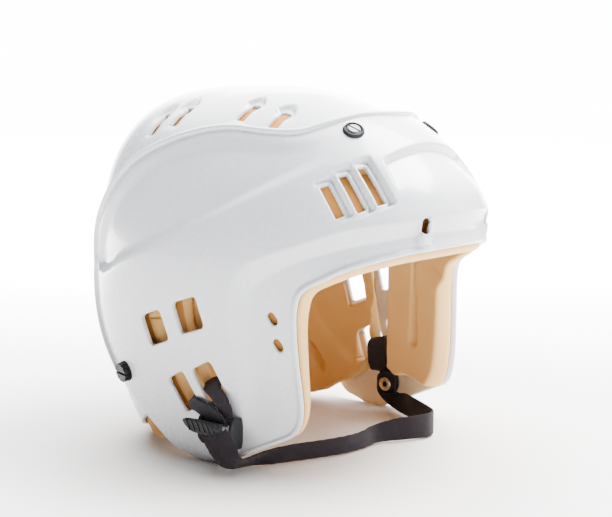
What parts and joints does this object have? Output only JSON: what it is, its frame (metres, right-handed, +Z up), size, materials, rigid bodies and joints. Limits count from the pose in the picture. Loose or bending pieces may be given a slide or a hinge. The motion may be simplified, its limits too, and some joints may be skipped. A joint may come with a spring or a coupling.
{
  "type": "ice hockey helmet",
  "caption": "Two-shell adjustable ice hockey helmet with ear windows, vents, bonded foam liner and a webbing chin strap with a press stud.",
  "frame": {"origin": "on the surface that the helmet stands on, under the middle of its bounding box", "axes": "+Z up, -Y out through the face opening, +X to the wearer's left"},
  "size_m": [0.2161, 0.2499, 0.2197],
  "materials": {
    "shell": "gloss moulded white",
    "rear_shell": "gloss moulded white",
    "foam": "matt closed cell foam",
    "screw": "zinc plated",
    "washer": "satin black cup",
    "nut": "plated",
    "thumb_screw": "satin black",
    "webbing": "woven, near black",
    "buckle": "satin black",
    "pin": "bright",
    "snap": "worn nickel over brass",
    "snap_cap": "black enamel"
  },
  "bodies": {
    "front_half": {"front_shell": "shell", "front_liner": "foam", "top_washer_left": "washer", "top_washer_right": "washer", "top_nut_left": "nut", "top_nut_right": "nut", "side_washer_left": "washer", "side_washer_right": "washer", "side_nut_left": "nut", "side_nut_right": "nut", "right_strap_loop": "webbing", "buckle_frame": "buckle", "buckle_pin": "pin", "chin_strap": "webbing", "left_strap_loop": "webbing", "left_strap_tab": "webbing", "snap_cap": "snap_cap", "snap_socket": "snap"},
    "rear_half": {"rear_shell": "rear_shell", "rear_liner": "foam"},
    "top_screw_left": {"top_screw_left": "screw"},
    "top_screw_right": {"top_screw_right": "screw"},
    "side_screw_left": {"side_screw_left": "thumb_screw"},
    "side_screw_right": {"side_screw_right": "thumb_screw"},
    "buckle_lever": {"buckle_lever": "buckle"},
    "snap_half": {"snap_stud": "snap", "snap_eyelet": "snap"}
  },
  "joints": [
    {"name": "length_slide", "type": "slide", "parent": "front_half", "child": "rear_half", "axis": [0, -0.9659, -0.2588], "range_m": [0, 0.008]},
    {"name": "top_screw_left_turn", "type": "hinge", "parent": "front_half", "child": "top_screw_left", "pos_m": [0.04028, -0.07358, 0.193], "axis": [0.4033, -0.476, 0.7815], "continuous": true},
    {"name": "top_screw_right_turn", "type": "hinge", "parent": "front_half", "child": "top_screw_right", "pos_m": [-0.04028, -0.07358, 0.193], "axis": [-0.4033, -0.476, 0.7815], "continuous": true},
    {"name": "side_screw_left_turn", "type": "hinge", "parent": "front_half", "child": "side_screw_left", "pos_m": [0.0956, 0.05488, 0.04791], "axis": [0.9426, 0.2651, -0.2028], "continuous": true},
    {"name": "side_screw_right_turn", "type": "hinge", "parent": "front_half", "child": "side_screw_right", "pos_m": [-0.0956, 0.05488, 0.04791], "axis": [-0.9426, 0.2651, -0.2028], "continuous": true},
    {"name": "lever_hinge", "type": "hinge", "parent": "front_half", "child": "buckle_lever", "pos_m": [-0.10507, -0.0215, 0.02843], "axis": [0, 1, 0], "range_deg": [0, 80]},
    {"name": "snap_swivel", "type": "hinge", "parent": "front_half", "child": "snap_half", "pos_m": [0.073, -0.0215, 0.0195], "axis": [1, 0, 0], "range_deg": [-60, 60]}
  ]
}
